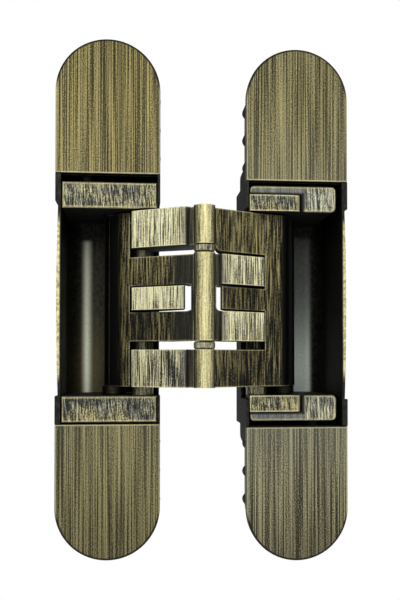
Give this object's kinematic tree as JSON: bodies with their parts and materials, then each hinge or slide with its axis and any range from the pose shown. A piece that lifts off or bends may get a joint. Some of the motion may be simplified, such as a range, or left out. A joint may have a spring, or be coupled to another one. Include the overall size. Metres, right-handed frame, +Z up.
{
  "type": "concealed door hinge",
  "caption": "Concealed adjustable door hinge in antique brushed brass: deep box leaves with rounded covers, joined by interleaved folding arms on a shared knuckle.",
  "frame": {"origin": "centre of the frame leaf's fixing holes, on the back face of its shallow ends, which seats in the mortise", "axes": "+Z up along the pins, +Y into the door frame, +X from the frame leaf across to the door leaf; the fronts face -Y"},
  "size_m": [0.0797, 0.0427, 0.1411],
  "materials": {
    "cover_brass": "antique brass, brushed lengthwise",
    "arm_brass": "blackened brass, brushed through on the faces",
    "carriage_brass": "blackened brass, brushed through on the faces",
    "housing_black": "blackened satin casting",
    "washer_brass": "satin",
    "bush_bronze": "satin",
    "screw_black": "blackened",
    "pin_steel": "ground"
  },
  "bodies": {
    "frame_leaf": {"frame_housing": "housing_black", "frame_upper_cover": "cover_brass", "frame_lower_cover": "cover_brass"},
    "height_screw": {"frame_height_screw": "screw_black"},
    "frame_carriage": {"frame_upper_carriage": "carriage_brass", "frame_lower_carriage": "carriage_brass", "frame_pivot_pin": "pin_steel", "frame_upper_pivot_washer": "washer_brass", "frame_lower_pivot_washer": "washer_brass"},
    "outer_arm": {"outer_arm": "arm_brass", "centre_pin": "pin_steel", "upper_centre_washer": "washer_brass", "lower_centre_washer": "washer_brass", "door_slider_pin": "pin_steel", "door_upper_slider_bush": "bush_bronze", "door_lower_slider_bush": "bush_bronze"},
    "inner_arm": {"inner_arm": "arm_brass", "frame_slider_pin": "pin_steel", "frame_upper_slider_bush": "bush_bronze", "frame_lower_slider_bush": "bush_bronze"},
    "door_carriage": {"door_upper_carriage": "carriage_brass", "door_lower_carriage": "carriage_brass", "door_upper_pivot_block": "carriage_brass", "door_lower_pivot_block": "carriage_brass", "door_pivot_pin": "pin_steel", "door_upper_pivot_washer": "washer_brass", "door_lower_pivot_washer": "washer_brass"},
    "door_leaf": {"door_housing": "housing_black", "door_upper_cover": "cover_brass", "door_lower_cover": "cover_brass", "door_upper_clamp_screw": "screw_black", "door_lower_clamp_screw": "screw_black"}
  },
  "joints": [
    {"name": "height_slide", "type": "slide", "parent": "frame_leaf", "child": "frame_carriage", "axis": [0, 0, 1], "range_m": [0, 0.0018]},
    {"name": "height_screw_turn", "type": "hinge", "parent": "frame_leaf", "child": "height_screw", "pos_m": [-0.006, -0.0092, 0.04], "axis": [0, 0, 1], "range_deg": [-120, 1260]},
    {"name": "frame_pivot", "type": "hinge", "parent": "frame_carriage", "child": "outer_arm", "pos_m": [0.0094, -0.0065, 0], "axis": [0, 0, 1], "range_deg": [-102.6, 0]},
    {"name": "knuckle_pivot", "type": "hinge", "parent": "outer_arm", "child": "inner_arm", "pos_m": [0.0253, -0.024, 0], "axis": [0, 0, 1], "range_deg": [0, 25.21]},
    {"name": "door_pivot", "type": "hinge", "parent": "inner_arm", "child": "door_carriage", "pos_m": [0.0412, -0.0065, 0], "axis": [0, 0, 1], "range_deg": [-102.61, 0]},
    {"name": "sideways_slide", "type": "slide", "parent": "door_carriage", "child": "door_leaf", "axis": [1, 0, 0], "range_m": [-0.0012, 0]}
  ],
  "couplings": [
    {"joint": "knuckle_pivot", "follows": "frame_pivot", "ratio": -0.24559},
    {"joint": "door_pivot", "follows": "frame_pivot", "ratio": 1},
    {"joint": "height_screw_turn", "follows": "height_slide", "rad_per_m": 8976}
  ]
}
